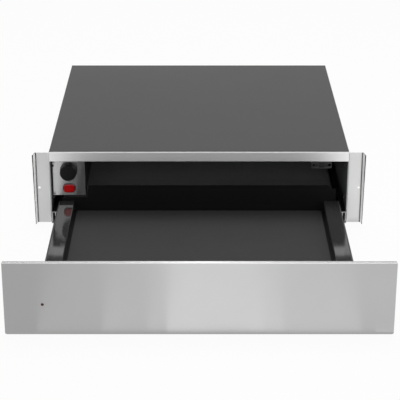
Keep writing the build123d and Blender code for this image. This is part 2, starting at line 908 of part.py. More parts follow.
def fan_impeller():
    wheel = rod((0, impeller_back - impeller_sheet, fan_height), BACK, impeller_radius, impeller_sheet)
    wheel += rod((0, impeller_back - hub_length, fan_height), BACK, hub_radius, hub_length)
    front = (0, impeller_front, fan_height)
    ring = rod(front, BACK, impeller_radius, impeller_sheet)
    wheel += ring - drilled(front, BACK, impeller_radius - impeller_rim, impeller_sheet)
    chord = impeller_radius - blade_inner_radius
    middle = (impeller_radius + blade_inner_radius) / 2 - blade_inset
    for index in range(blade_count):
        blade = Rot(0, 0, blade_angle) * Rectangle(chord, blade_sheet)
        blade = Rot(0, 0, index * 360 / blade_count) * Pos(middle, 0) * blade
        wheel += along_y(Pos(0, fan_height) * blade, impeller_front + impeller_sheet / 2,
                         impeller_back - impeller_sheet / 2)
    return wheel - drilled(front, BACK, fan_shaft_radius, impeller_depth)


def heater_path():
    """Ring round the fan, open at the right, whose two tails turn back through the bracket."""
    y = (impeller_front + impeller_back) / 2
    half = math.radians(heater_gap_angle / 2)
    start = Vector(heater_ring_radius * math.cos(half), y, fan_height + heater_ring_radius * math.sin(half))
    end = Vector(start.X, y, 2 * fan_height - start.Z)
    far = Vector(-heater_ring_radius, y, fan_height)
    inward = Vector(math.sin(half), 0, -math.cos(half)) * heater_bend
    tail = bracket_back + heater_tail
    back = Vector(0, heater_bend, 0)
    ring = ThreePointArc(start, far, end)
    upper_end = start + inward + back
    lower_end = Vector(upper_end.X, upper_end.Y, 2 * fan_height - upper_end.Z)
    upper_bend = TangentArc(start, upper_end, tangent=inward)
    lower_bend = TangentArc(end, lower_end, tangent=Vector(inward.X, 0, -inward.Z))
    upper_tail = Line(upper_end, Vector(upper_end.X, tail, upper_end.Z))
    lower_tail = Line(lower_end, Vector(lower_end.X, tail, lower_end.Z))
    return [upper_tail, upper_bend, ring, lower_bend, lower_tail]


def heater_ends():
    path = heater_path()
    return [path[0] @ 1, path[4] @ 1]


def heating_element():
    path = Wire(heater_path())
    return sweep(Plane(origin=path @ 0, z_dir=path % 0) * Circle(heater_radius), path=path)


def safety_cutout():
    back = baffle_setback + body_sheet
    ear = slab(around(cutout_x, cutout_ear), (back, back + cutout_ear_sheet),
               around(cutout_height, cutout_ear_height))
    body = ear + rod((cutout_x, back, cutout_height), BACK, cutout_radius, cutout_depth)
    for x in spread(2, cutout_tab_pitch):
        body += slab(around(cutout_x + x, tab_sheet),
                     (back + cutout_depth - past, back + cutout_depth + cutout_tab),
                     around(cutout_height, cutout_tab))
    return body


# ------------------------------------------------------------------ mains connection
def terminal_block():
    block = slab(around(terminal_x, terminal_width), (terminal_front, terminal_back),
                 (floor_top, terminal_top))
    block = fillet(block.edges().filter_by(Axis.Z), terminal_corner)
    for x in spread(pole_count, terminal_width / pole_count):
        block -= rod((terminal_x + x, terminal_back - terminal_depth / 3, terminal_top - pole_depth), UP,
                     pole_radius, pole_depth + past)
    return block


def cable_gland():
    flange = rod((gland_x, body_depth, gland_height), BACK, gland_flange, gland_flange_depth)
    inner_end = (gland_x, rear_inside - gland_inside, gland_height)
    body = rod(inner_end, BACK, gland_body, gland_length)
    body = fillet(body.edges().filter_by(GeomType.CIRCLE).sort_by(Axis.Y)[-1], gland_edge)
    return flange + body - drilled(inner_end, BACK, gland_bore, gland_length)


def loom_path():
    """Lead from the switch gear along the left ceiling corner to the terminal block."""
    switch_back = housing_front + switch_body_depth
    end_y = terminal_back - loom_entry
    points = [(switch_x, switch_back, switch_height),
              (switch_x, switch_back + loom_lead_out, switch_height),
              (loom_x, housing_back - loom_clip, loom_height),
              (loom_x, housing_back + loom_clip, loom_height),
              (loom_x + loom_bow, (housing_back + baffle_setback) / 2, loom_height - loom_sag),
              (loom_x, baffle_setback - loom_reach, loom_height),
              (loom_x, baffle_setback + loom_reach, loom_height),
              (loom_end_x - loom_turn, end_y, loom_height - loom_fall),
              (loom_end_x, end_y, terminal_top + loom_plunge),
              (loom_end_x, end_y, terminal_top)]
    radii = []
    for before, corner, after in zip(points, points[1:], points[2:]):
        first = Vector(*corner) - Vector(*before)
        second = Vector(*after) - Vector(*corner)
        shorter = min(first.length, second.length)
        turn = math.radians(first.get_angle(second))
        radii.append(round(min(loom_bend_share * shorter / math.tan(turn / 2), loom_bend_most), 2))
    print("loom radii", radii)
    return FilletPolyline(*points, radius=radii)


def wiring_loom():
    path = loom_path()
    lead = sweep(Plane(origin=path @ 0, z_dir=path % 0) * Circle(loom_radius), path=path)
    print("loom volume", round(lead.volume, 1), "section x length",
          round(math.pi * loom_radius ** 2 * path.length, 1))
    return lead


def loom_grommets():
    group = []
    for y in (housing_back - body_sheet, baffle_setback):
        front = (loom_x, y - (grommet_length - body_sheet) / 2, loom_height)
        sheet = (loom_x, y, loom_height)
        bush = rod(front, BACK, grommet_radius, grommet_length)
        groove = rod(sheet, BACK, grommet_rim, body_sheet) - rod(sheet, BACK, grommet_neck, body_sheet)
        group.append(bush - groove - drilled(front, BACK, loom_radius + grommet_clearance, grommet_length))
    return Compound(children=group)


# ------------------------------------------------------------------ fasteners
def pan_screw(seat, axis):
    """A pan-head screw whose head stands on seat and whose shank runs back along the axis."""
    start = Vector(*seat) - Vector(*axis) * screw_length
    shank = rod(start, axis, screw_radius, screw_length)
    head = rod(seat, axis, screw_head, screw_head_height)
    outward = Axis(seat, axis)
    head = fillet(head.edges().filter_by(GeomType.CIRCLE).sort_by(outward)[-1], screw_dome)
    cross = Rectangle(recess_length, recess_width) + Rectangle(recess_width, recess_length)
    floor = Vector(*seat) + Vector(*axis) * (screw_head_height - recess_depth)
    return shank + head - extrude(Plane(origin=floor, z_dir=axis) * cross, recess_depth + past)


def rear_screws():
    return Compound(children=[pan_screw((x, body_depth, z), BACK)
                              for x in (-rear_screw_x, rear_screw_x) for z in rear_screw_heights])


def flange_screws():
    seat = wall_outer + face_sheet
    return Compound(children=[pan_screw((side * seat, flange_screw_setback, z), (side, 0, 0))
                              for side in (-1, 1) for z in flange_screw_heights])


# ------------------------------------------------------------------ assembly
drawer_open = Pos(0, -drawer_travel, 0)
cage_open = Pos(0, -drawer_travel / 2, 0)

cabinet = {
    "base_panel": base_panel(), "side_panel_right": side_panel(), "rear_panel": rear_panel(),
    "top_panel": top_panel(), "top_rail": top_rail(), "side_flange_right": side_flange(),
    "ceiling_liner": ceiling_liner(), "insulation_board": insulation_board(),
    "slide_rail_right": slide_rail(), "slide_rivets": slide_rivets(),
    "control_housing": control_housing(), "control_plate": control_plate(),
    "thermostat": thermostat(), "thermostat_shaft": thermostat_shaft(),
    "thermostat_knob": thermostat_knob(), "switch_frame": switch_frame(), "rocker": rocker(),
    "latch_bracket": latch_bracket(), "latch_housing": latch_housing(), "latch_plunger": latch_plunger(),
    "air_baffle": air_baffle(), "fan_bracket": fan_bracket(), "motor_stator": motor_stator(),
    "motor_coil": motor_coil(), "motor_rotor": motor_rotor(), "bearing_bridge": bearing_bridge(),
    "fan_shaft": fan_shaft(), "fan_impeller": fan_impeller(), "heating_element": heating_element(),
    "safety_cutout": safety_cutout(), "terminal_block": terminal_block(), "cable_gland": cable_gland(),
    "wiring_loom": wiring_loom(), "loom_grommets": loom_grommets(),
    "rear_screws": rear_screws(), "flange_screws": flange_screws(),
}
drawer = {
    "slide_runner_right": slide_runner(), "tray": tray(), "side_arm_right": side_arm(),
    "rear_wall": rear_wall(), "slip_mat": slip_mat(), "front_carrier": front_carrier(),
    "front_panel": front_panel(), "pilot_lens": pilot_lens(), "lens_holder": lens_holder(),
    "bumpers": bumpers(), "latch_striker": latch_striker(),
}
cages = {"ball_cage_right": ball_cage(), "slide_balls_right": slide_balls()}

pieces = dict(cabinet)
pieces.update({name: drawer_open * shape for name, shape in drawer.items()})
pieces.update({name: cage_open * shape for name, shape in cages.items()})
for name in [name for name in pieces if name.endswith("_right")]:
    pieces[name.replace("_right", "_left")] = mirrored(pieces[name])

os.makedirs("parts", exist_ok=True)
for name, shape in pieces.items():
    export_step(shape, f"parts/{name}.step")
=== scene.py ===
"""Built-in warming drawer: finishes, soft pieces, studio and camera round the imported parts.

Everything is in metres in the row's frame: +X right, +Y into the cupboard, +Z up. The origin is at the foot
of the casing, in the middle of its front edge.
"""

import math

import bmesh
import bpy
from bpy.props import FloatProperty, FloatVectorProperty, IntProperty, PointerProperty
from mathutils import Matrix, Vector, noise


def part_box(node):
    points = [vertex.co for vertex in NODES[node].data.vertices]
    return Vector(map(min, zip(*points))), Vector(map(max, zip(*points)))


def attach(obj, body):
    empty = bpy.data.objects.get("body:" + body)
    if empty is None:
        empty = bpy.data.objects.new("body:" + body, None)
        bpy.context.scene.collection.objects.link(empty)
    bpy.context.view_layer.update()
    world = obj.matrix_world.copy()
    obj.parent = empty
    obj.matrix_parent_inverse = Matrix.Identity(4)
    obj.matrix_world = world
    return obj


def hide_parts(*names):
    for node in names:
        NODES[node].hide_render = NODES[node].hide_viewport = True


bl_info = {
    "name": "Built-in Warming Drawer",
    "version": (1, 0, 0),
    "blender": (4, 5, 0),
    "location": "View3D > Sidebar > Warming Drawer",
    "description": "Finishes, soft pieces and studio for a built-in warming drawer",
    "category": "Object",
}

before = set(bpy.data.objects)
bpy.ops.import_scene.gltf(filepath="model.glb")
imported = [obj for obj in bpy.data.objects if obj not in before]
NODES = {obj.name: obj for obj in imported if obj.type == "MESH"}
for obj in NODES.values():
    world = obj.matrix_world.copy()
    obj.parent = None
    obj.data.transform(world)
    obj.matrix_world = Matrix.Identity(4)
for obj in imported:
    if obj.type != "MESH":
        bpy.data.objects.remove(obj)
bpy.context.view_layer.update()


# ------------------------------------------------------------------ shader expressions
class Link:
    """One output socket, which takes part in Python arithmetic."""

    def __init__(self, shading, socket):
        self.shading = shading
        self.socket = socket

    def __add__(self, other):
        return self.shading.maths("ADD", self, other)

    __radd__ = __add__

    def __sub__(self, other):
        return self.shading.maths("SUBTRACT", self, other)

    def __rsub__(self, other):
        return self.shading.maths("SUBTRACT", other, self)

    def __mul__(self, other):
        return self.shading.maths("MULTIPLY", self, other)

    __rmul__ = __mul__

    def __pow__(self, other):
        return self.shading.maths("POWER", self, other)

    def __rpow__(self, other):
        return self.shading.maths("POWER", other, self)

    def waves(self, pitch):
        """A sine wave from -1 to 1 with this pitch in metres."""
        return self.shading.maths("SINE", self * (2 * math.pi / pitch))

    def absolute(self):
        return self.shading.maths("ABSOLUTE", self)

    def over(self, other):
        """The larger of the two."""
        return self.shading.maths("MAXIMUM", self, other)

    def clear_of(self, start, end):
        """0 up to start, 1 from end on, smooth between. It falls where start is the larger."""
        settings = {"interpolation_type": "SMOOTHSTEP"}
        values = {"Value": self, "From Min": start, "From Max": end}
        return self.shading.add("ShaderNodeMapRange", settings, values)["Result"]


class Node:
    """A shader node whose outputs are read by name or number."""

    def __init__(self, shading, node):
        self.shading = shading
        self.node = node

    def __getitem__(self, key):
        return Link(self.shading, self.node.outputs[key])


class Shading:
    """The node tree of a material or of the world, emptied and then built up."""

    def __init__(self, owner):
        owner.use_nodes = True
        self.tree = owner.node_tree
        self.tree.nodes.clear()

    def add(self, kind, settings=None, values=None):
        """A node of this kind: its settings first, then the values or links of its sockets."""
        node = self.tree.nodes.new(kind)
        for key, value in (settings or {}).items():
            if key == "stops":
                set_stops(node.color_ramp, value)
            else:
                setattr(node, key, value)
        for key, value in (values or {}).items():
            self.feed(node.inputs[key], value)
        return Node(self, node)

    def feed(self, socket, value):
        if isinstance(value, Link):
            self.tree.links.new(value.socket, socket)
        elif socket.type == "RGBA" and len(value) == 3:
            socket.default_value = (*value, 1.0)
        else:
            socket.default_value = value

    def maths(self, operation, *values):
        return self.add("ShaderNodeMath", {"operation": operation}, dict(enumerate(values)))[0]


class Finish(Shading):
    """One material under construction, with its main shader."""

    def __init__(self, name, **sockets):
        self.material = bpy.data.materials.new(name)
        super().__init__(self.material)
        values = {key.replace("_", " "): value for key, value in sockets.items()}
        self.shader = self.add("ShaderNodeBsdfPrincipled", {}, values)
        self.add("ShaderNodeOutputMaterial", {}, {"Surface": self.shader[0]})
        self.place = self.add("ShaderNodeTexCoord")["Object"]

    def set(self, name, value):
        self.feed(self.shader.node.inputs[name], value)

    def source(self, name):
        """What already feeds one of the main shader's sockets."""
        return Link(self, self.shader.node.inputs[name].links[0].from_socket)

    def mix(self, factor, first, second):
        """A colour between two colours, by the Mix node's colour sockets."""
        values = {0: factor, 6: first, 7: second}
        return self.add("ShaderNodeMix", {"data_type": "RGBA"}, values)[2]

    def shades(self, factor, colour, dark, light):
        """A colour between two shades of one colour."""
        return self.mix(factor, shade(colour, dark), shade(colour, light))

    def axes(self):
        parts = self.add("ShaderNodeSeparateXYZ", {}, {0: self.place})
        return parts["X"], parts["Y"], parts["Z"]

    def facing(self, axis):
        """The surface's direction along one axis, from -1 to 1."""
        normal = self.add("ShaderNodeTexCoord")["Normal"]
        return self.add("ShaderNodeSeparateXYZ", {}, {0: normal})[axis]

    def noise(self, scale, detail=2.0, roughness=0.5, place=None):
        values = {"Vector": place or self.place, "Scale": scale, "Detail": detail, "Roughness": roughness}
        return self.add("ShaderNodeTexNoise", {}, values)[0]

    def grain(self, axis, along, across, detail=2.0, roughness=0.6):
        """Noise drawn out on one axis, from its changes per metre along that axis and across it."""
        rates = tuple(along if letter == axis else across for letter in "XYZ")
        drawn = self.add("ShaderNodeVectorMath", {"operation": "MULTIPLY"}, {0: self.place, 1: rates})[0]
        return self.noise(1.0, detail, roughness, drawn)

    def cells(self, scale, output="Distance"):
        return self.add("ShaderNodeTexVoronoi", {}, {"Vector": self.place, "Scale": scale})[output]

    def relief(self, height, depth, strength):
        """Bump of this depth in metres where height runs from 0 to 1."""
        values = {"Height": height, "Distance": depth, "Strength": strength}
        self.set("Normal", self.add("ShaderNodeBump", {}, values)["Normal"])


def set_stops(ramp, stops):
    while len(ramp.elements) < len(stops):
        ramp.elements.new(1.0)
    for element, (position, colour) in zip(ramp.elements, stops):
        element.position = position
        element.color = (*colour, 1.0)


def shade(colour, factor):
    return tuple(min(1.0, channel * factor) for channel in colour)


def grey(level):
    return level, level, level


# ------------------------------------------------------------------ finishes
# Colours that show in places only
# Painted shade for the rail's face that looks up
PAINTED_TOP_SHADE = grey(0.27)
# Painted highlight along the top edge of the drawer's front
PAINTED_EDGE_HIGHLIGHT = grey(0.66)
# Painted highlight on the flanges' lips and on the bends next to the casing
PAINTED_LIP_HIGHLIGHT = grey(0.97)
# Painted shade in the flanges' folds and on their lips' edges
PAINTED_FOLD_AND_EDGE_SHADE = grey(0.03)
# Painted shade on the arms' outer edges, which are also matt there
MATT_EDGE_WITH_PAINTED_SHADE = grey(0.004)
# Bare metal at the slides' front ends, painted bright as the highlight there
BARE_METAL_AND_HIGHLIGHT = grey(0.62)
# Painted highlight on the key's bevel that looks up
PAINTED_BEVEL_HIGHLIGHT = (0.9, 0.45, 0.5)
GREASE = (0.42, 0.40, 0.34)
RUST = (0.16, 0.07, 0.03)
STRAW_TINT = (0.34, 0.24, 0.12)
BLUE_TINT = (0.16, 0.17, 0.24)

# Where a finish or a band of painted highlight or painted shade changes: the distances from an edge or a
# face at which the change starts and ends
PANEL_EDGE = (0.0016, 0.0008)
LIP_START = (0.0003, 0.0008)
LIP_TIP = (0.0035, 0.0025)
FLANGE_FOLD = (0.0065, 0.0055)
FLANGE_BEND = (0.0028, 0.0015)
FLANGE_FOOT = (0.080, 0.0)
ARM_EDGE = (0.0026, 0.0018)
SLIDE_MOUTH = (0.0005, 0.0)
SLIDE_WEB = (0.0021, 0.0018)
SLIDE_CROWN = (0.0016, 0.0012)

# Pitches of the motor's sheets and wire and of the rings on the fan
IRON_SHEET = 0.0005
COPPER_WIRE = 0.0006
TURNING_MARK = 0.0012083


def brushed_steel(name, colour, roughness, contrast, axis="X", anisotropy=0.85):
    """Stainless sheet with fine straight grain along X or Z, faint smudges and long streaks."""
    turn = {"X": 0.25, "Z": 0.0}[axis]
    finish = Finish(name, Metallic=1.0, Anisotropic=anisotropy, Anisotropic_Rotation=turn)
    streaks = finish.grain(axis, along=7.0, across=1500.0, detail=3.0)
    hairs = finish.grain(axis, along=28.0, across=5200.0)
    smudge = finish.noise(9.0, detail=4.0, roughness=0.55)
    tone = (streaks * 0.6 + hairs * 0.4 - 0.5) * contrast + (smudge - 0.5) * 0.05 + 0.5
    finish.set("Base Color", finish.shades(tone, colour, 0.88, 1.12))
    finish.set("Roughness", (smudge - 0.5) * 0.10 + (streaks - 0.5) * 0.06 + roughness)
    finish.relief(hairs * 0.5 + streaks * 0.5, depth=0.000012, strength=0.5)
    return finish


def capped_rail(name, colour, roughness, contrast):
    """Brushed sheet, darkened by painted shade on the narrow face that looks up."""
    finish = brushed_steel(name, colour, roughness, contrast, anisotropy=0.6)
    top = finish.facing("Z").clear_of(0.4, 0.8)
    # Painted shade: the face that looks up is darker
    finish.set("Base Color", finish.mix(top, finish.source("Base Color"), PAINTED_TOP_SHADE))
    return finish


def edged_front(name, colour, roughness, contrast):
    """Brushed sheet for the drawer's front, with a painted highlight along its rolled top edge."""
    finish = brushed_steel(name, colour, roughness, contrast, anisotropy=0.88)
    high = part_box("front_panel")[1]
    _, _, z = finish.axes()
    edge = (high.z - z).clear_of(*PANEL_EDGE)
    # Painted highlight along the rolled top edge
    finish.set("Base Color", finish.mix(edge, finish.source("Base Color"), PAINTED_EDGE_HIGHLIGHT))
    return finish


def folded_flange(name, colour, roughness, contrast):
    """Upright brushed sheet with painted light: a painted highlight on the matt lip and the bend, and
    painted shade in the fold, on the lip's edges and darkening towards the foot.
    """
    finish = brushed_steel(name, colour, roughness, contrast, axis="Z", anisotropy=0.2)
    low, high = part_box("side_flange_right")
    # The rail and the flanges share one front face
    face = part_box("top_rail")[0].y
    x, y, z = finish.axes()
    out = x.absolute()
    lip = (face - y).clear_of(*LIP_START)
    # Painted shade in the fold, just before the lip starts
    fold = (high.x - out).clear_of(*FLANGE_FOLD) - lip
    # The bend next to the casing, which gets a painted highlight
    bend = (out - low.x).clear_of(*FLANGE_BEND)
    front = finish.facing("Y").clear_of(-0.5, -0.8)
    crown = finish.facing("Z").clear_of(0.5, 0.8)
    tip = (y - low.y).clear_of(*LIP_TIP)
    # Painted shade on the lip's front, top and tip edges
    cut = lip * front.over(crown).over(tip)
    # Painted shade: the flange is darker towards its foot
    foot = z.clear_of(*FLANGE_FOOT)
    toning = finish.mix(foot * 0.5, finish.source("Base Color"), shade(colour, 0.55))
    # Painted highlight on the lip and on the bend
    pale = finish.mix(lip.over(bend), toning, PAINTED_LIP_HIGHLIGHT)
    # Painted shade in the fold and on the lip's edges
    finish.set("Base Color", finish.mix((fold * 0.8).over(cut * 0.95), pale, PAINTED_FOLD_AND_EDGE_SHADE))
    finish.set("Roughness", finish.source("Roughness") + lip * 0.55)
    finish.set("Metallic", 1 - bend * 0.7)
    return finish


def coated_sheet(name, colour, roughness, dust=0.15, specular=0.5):
    """Stoved coating on sheet: fine peel, a slight cloudiness and a little dust."""
    finish = Finish(name, Specular_IOR_Level=specular)
    skin = finish.noise(950.0)
    cloud = finish.noise(6.5, detail=5.0, roughness=0.6)
    patches = finish.noise(14.0, detail=3.0).clear_of(0.45, 0.7)
    specks = finish.noise(420.0, detail=1.0).clear_of(0.66, 0.74) * patches
    base = finish.shades(cloud, colour, 0.93, 1.07)
    pale = tuple(channel * 0.6 + 0.12 for channel in colour)
    finish.set("Base Color", finish.mix(specks * dust, base, pale))
    finish.set("Roughness", (cloud - 0.5) * 0.12 + skin * 0.04 + specks * 0.1 + roughness - 0.02)
    finish.relief(skin, depth=0.00002, strength=0.6)
    return finish


def zinc_sheet(name, colour, roughness=0.42, metallic=1.0):
    """Galvanised sheet with soft crystal spangle and rolling marks."""
    finish = Finish(name, Metallic=metallic)
    crystal = finish.cells(85.0, output="Color")
    spangle = finish.add("ShaderNodeSeparateColor", {}, {0: crystal})["Red"]
    rolled = finish.grain("Y", along=5.0, across=600.0, roughness=0.5)
    stain = finish.noise(7.0, detail=5.0, roughness=0.6)
    tone = spangle * 0.35 + rolled * 0.25 + stain * 0.4
    finish.set("Base Color", finish.shades(tone, colour, 0.84, 1.12))
    finish.set("Roughness", spangle * 0.12 + stain * 0.1 + roughness - 0.1)
    finish.relief(spangle * 0.4 + rolled * 0.6, depth=0.00003, strength=0.5)
    return finish


def rolling_marks(finish, roughness):
    """Adds lengthwise rolling lines and thin films of grease, and gives back their masks."""
    rolled = finish.grain("Y", along=6.0, across=1400.0, detail=3.0)
    grease = finish.noise(24.0, detail=4.0, roughness=0.65).clear_of(0.48, 0.66)
    finish.set("Roughness", rolled * 0.12 + roughness - grease * 0.12)
    finish.relief(rolled, depth=0.00001, strength=0.5)
    return rolled, grease


def plated_steel(name, colour, roughness=0.3):
    """Bright zinc-plated steel, a little yellow where it is greased."""
    finish = Finish(name, Metallic=1.0)
    rolled, grease = rolling_marks(finish, roughness)
    finish.set("Base Color", finish.mix(grease * 0.35, finish.shades(rolled, colour, 0.86, 1.1), GREASE))
    return finish


def black_zinc(name, colour, roughness=0.34):
    """Black zinc-plated steel, bare on the web and the crown at the slides' punched front ends, where the
    bright bare metal is also a painted highlight.
    """
    finish = Finish(name, Metallic=0.6)
    low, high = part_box("slide_rail_right")
    rolled, _ = rolling_marks(finish, roughness)
    x, y, z = finish.axes()
    mouth = (y - low.y).clear_of(*SLIDE_MOUTH)
    web = (high.x - x.absolute()).clear_of(*SLIDE_WEB)
    crown = (high.z - z).clear_of(*SLIDE_CROWN)
    # Bare metal at the front ends, which is also a painted highlight
    bare = mouth * web.over(crown)
    finish.set("Base Color", finish.mix(bare, finish.shades(rolled, colour, 0.8, 1.25), BARE_METAL_AND_HIGHLIGHT))
    return finish


def black_enamel(name, colour, roughness):
    """Glossy black stoved enamel with faint ripples and handling hazes, matt along its outer edge, where
    painted shade also darkens it.
    """
    finish = Finish(name, IOR=1.85)
    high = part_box("side_arm_right")[1]
    x, _, _ = finish.axes()
    # The outer edge: matt, and darkened by painted shade
    edge = (high.x - x.absolute()).clear_of(*ARM_EDGE)
    haze = finish.noise(11.0, detail=5.0, roughness=0.6)
    finish.set("Base Color", finish.mix(edge, finish.shades(haze, colour, 0.85, 1.25), MATT_EDGE_WITH_PAINTED_SHADE))
    finish.set("Roughness", (haze - 0.5) * 0.10 + roughness + edge * 0.8)
    finish.relief(finish.noise(130.0), depth=0.00002, strength=0.35)
    return finish


def moulded_plastic(name, colour, roughness=0.42):
    """Fine spark-eroded black moulding, a little polished where it is handled."""
    finish = Finish(name, IOR=1.46, Specular_IOR_Level=0.22)
    pores = finish.noise(2600.0, roughness=0.6)
    worn = finish.noise(45.0, detail=3.0)
    finish.set("Base Color", finish.shades(worn, colour, 0.85, 1.25))
    finish.set("Roughness", (pores - 0.5) * 0.16 - (worn - 0.5) * 0.1 + roughness)
    finish.relief(pores, depth=0.00003, strength=0.7)
    return finish


def clear_key(name, colour, dark, roughness):
    """Tinted clear moulding, with a painted highlight along the bevel that looks up."""
    finish = Finish(name, IOR=1.49, Specular_IOR_Level=0.3, Coat_Weight=0.1, Coat_Roughness=0.05)
    swirl = finish.noise(160.0, detail=3.0)
    scratches = finish.grain("Z", along=160.0, across=2400.0, detail=3.0).clear_of(0.55, 0.7)
    crown = finish.facing("Z").clear_of(0.25, 0.7)
    # Painted highlight on the bevel that looks up
    finish.set("Base Color", finish.mix(crown * 0.5, finish.shades(swirl, colour, dark, 1.0), PAINTED_BEVEL_HIGHLIGHT))
    finish.set("Roughness", scratches * 0.12 + roughness)
    finish.relief(swirl, depth=0.00002, strength=0.3)
    return finish


def mat_rubber(name, colour, pitch):
    """Matt non-slip rubber with fine crossed ribs, pores and pale handling marks."""
    finish = Finish(name, IOR=1.5, Specular_IOR_Level=0.25)
    x, y, _ = finish.axes()
    ribs = x.waves(pitch) * y.waves(pitch)
    pores = finish.noise(1900.0, detail=3.0, roughness=0.7)
    marks = finish.noise(17.0, detail=6.0, roughness=0.65)
    scuffs = finish.grain("Y", along=260.0, across=90.0, detail=4.0, roughness=0.7).clear_of(0.56, 0.75)
    base = finish.shades(marks * 0.5 + pores * 0.5, colour, 0.78, 1.2)
    finish.set("Base Color", finish.mix(scuffs * 0.3, base, shade(colour, 1.7)))
    finish.set("Roughness", pores * 0.12 + 0.72 - scuffs * 0.1)
    finish.relief(ribs * 0.35 + pores * 0.65, depth=0.00022, strength=0.8)
    return finish


def soft_rubber(name, colour):
    """Moulded soft rubber with a dry bloom."""
    finish = Finish(name, Specular_IOR_Level=0.3)
    bloom = finish.noise(75.0, detail=4.0, roughness=0.6)
    finish.set("Base Color", finish.shades(bloom, colour, 0.8, 1.6))
    finish.set("Roughness", bloom * 0.15 + 0.62)
    finish.relief(finish.noise(2200.0), depth=0.00004, strength=0.5)
    return finish


def turned_alloy(name, colour):
    """Pressed aluminium with rings round the fan's axis."""
    finish = Finish(name, Metallic=1.0)
    low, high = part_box("fan_impeller")
    x, _, z = finish.axes()
    rise = z - (low.z + high.z) / 2
    radius = (x * x + rise * rise) ** 0.5
    rings = radius.waves(TURNING_MARK) * 0.5 + 0.5
    toning = finish.noise(60.0, detail=4.0)
    finish.set("Base Color", finish.shades(toning, colour, 0.82, 1.08))
    finish.set("Roughness", rings * 0.08 + toning * 0.14 + 0.24)
    finish.relief(rings, depth=0.00001, strength=0.5)
    return finish


def stacked_iron(name, colour):
    """Varnished iron sheets stacked along Y, with a little rust."""
    finish = Finish(name, Metallic=0.7, Coat_Weight=0.3, Coat_Roughness=0.3)
    _, y, _ = finish.axes()
    sheets = y.waves(IRON_SHEET) * 0.5 + 0.5
    rust = finish.noise(160.0, detail=4.0, roughness=0.65).clear_of(0.58, 0.72)
    finish.set("Base Color", finish.mix(rust * 0.4, finish.shades(sheets, colour, 0.6, 1.2), RUST))
    finish.set("Roughness", sheets * 0.15 + rust * 0.2 + 0.4)
    finish.relief(sheets, depth=0.00012, strength=0.8)
    return finish


def wound_copper(name, colour):
    """Enamelled wire in close turns under clear tape."""
    finish = Finish(name, Metallic=0.6, Coat_Weight=0.7, Coat_Roughness=0.15)
    x, _, _ = finish.axes()
    turns = x.waves(COPPER_WIRE) * 0.5 + 0.5
    age = finish.noise(140.0, detail=3.0)
    finish.set("Base Color", finish.shades(age, colour, 0.7, 1.15))
    finish.set("Roughness", turns * 0.1 + 0.3)
    finish.relief(turns, depth=0.00025, strength=0.9)
    return finish


def heated_tube(name, colour):
    """Steel heater tube with straw and blue heat tints."""
    finish = Finish(name, Metallic=1.0)
    heat = finish.noise(28.0, detail=4.0, roughness=0.6)
    stops = [(0.25, colour), (0.45, STRAW_TINT), (0.6, BLUE_TINT), (0.78, shade(colour, 0.7))]
    finish.set("Base Color", finish.add("ShaderNodeValToRGB", {"stops": stops}, {0: heat})["Color"])
    finish.set("Roughness", heat * 0.2 + 0.32)
    finish.relief(finish.noise(900.0), depth=0.00003, strength=0.4)
    return finish


def fibre_board(name, colour):
    """Pressed mineral fibre: short strands and pits."""
    finish = Finish(name, Specular_IOR_Level=0.2)
    strands = finish.grain("Y", along=900.0, across=260.0, detail=4.0, roughness=0.7)
    pits = finish.cells(500.0)
    finish.set("Base Color", finish.shades(strands, colour, 0.72, 1.15))
    finish.set("Roughness", strands * 0.1 + 0.85)
    finish.relief(strands * 0.7 + pits * 0.3, depth=0.0004, strength=0.9)
    return finish


def braided_sleeve(name, colour, pitch):
    """Braided glass sleeve: two crossed families of strands."""
    finish = Finish(name, Specular_IOR_Level=0.35)
    x, y, z = finish.axes()
    first = (x + y + z).waves(pitch)
    second = (x - y + z).waves(pitch)
    braid = first.over(second) * 0.5 + 0.5
    wear = finish.noise(90.0, detail=3.0)
    finish.set("Base Color", finish.shades(braid, colour, 0.5, 1.3))
    finish.set("Roughness", wear * 0.2 + 0.55)
    finish.relief(braid, depth=0.00035, strength=0.9)
    return finish


def dress(finish, *names):
    """Gives these CAD nodes one finish."""
    for name in names:
        data = NODES[name].data
        data.materials.clear()
        data.materials.append(finish.material)


def pair(name):
    return f"{name}_left", f"{name}_right"


# ------------------------------------------------------------------ mesh helpers
def new_piece(name, mesh, body, finish):
    """An object from a bmesh, riding on a body, with its finish."""
    data = bpy.data.meshes.new(name)
    bmesh.ops.recalc_face_normals(mesh, faces=mesh.faces)
    mesh.to_mesh(data)
    mesh.free()
    piece = bpy.data.objects.new(name, data)
    bpy.context.scene.collection.objects.link(piece)
    data.materials.append(finish.material)
    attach(piece, body)
    return piece


def smooth(piece, angle):
    """Shades smooth, but for edges sharper than this angle in degrees."""
    piece.data.shade_smooth()
    for edge in piece.data.edges:
        edge.use_edge_sharp = False
    bpy.context.view_layer.objects.active = piece
    piece.select_set(True)
    bpy.ops.object.shade_smooth_by_angle(angle=math.radians(angle))
    piece.select_set(False)


def turned(mesh, centre, profile, segments):
    """Adds a solid turned about a line along +Y through centre, from (radius, y) pairs."""
    rings = []
    for radius, y in profile:
        if radius == 0:
            rings.append([mesh.verts.new((centre[0], centre[1] + y, centre[2]))])
            continue
        ring = []
        for index in range(segments):
            angle = 2 * math.pi * index / segments
            ring.append(mesh.verts.new((centre[0] + radius * math.cos(angle), centre[1] + y,
                                        centre[2] + radius * math.sin(angle))))
        rings.append(ring)
    for first, second in zip(rings, rings[1:]):
        for index in range(segments):
            after = (index + 1) % segments
            corners = [first[index % len(first)], first[after % len(first)],
                       second[after % len(second)], second[index % len(second)]]
            mesh.faces.new(list(dict.fromkeys(corners)))


# ------------------------------------------------------------------ settings
def colour_setting(name, description, default):
    """A colour that a user can change."""
    return FloatVectorProperty(name=name, description=description, subtype="COLOR", default=default,
                               min=0.0, max=1.0)


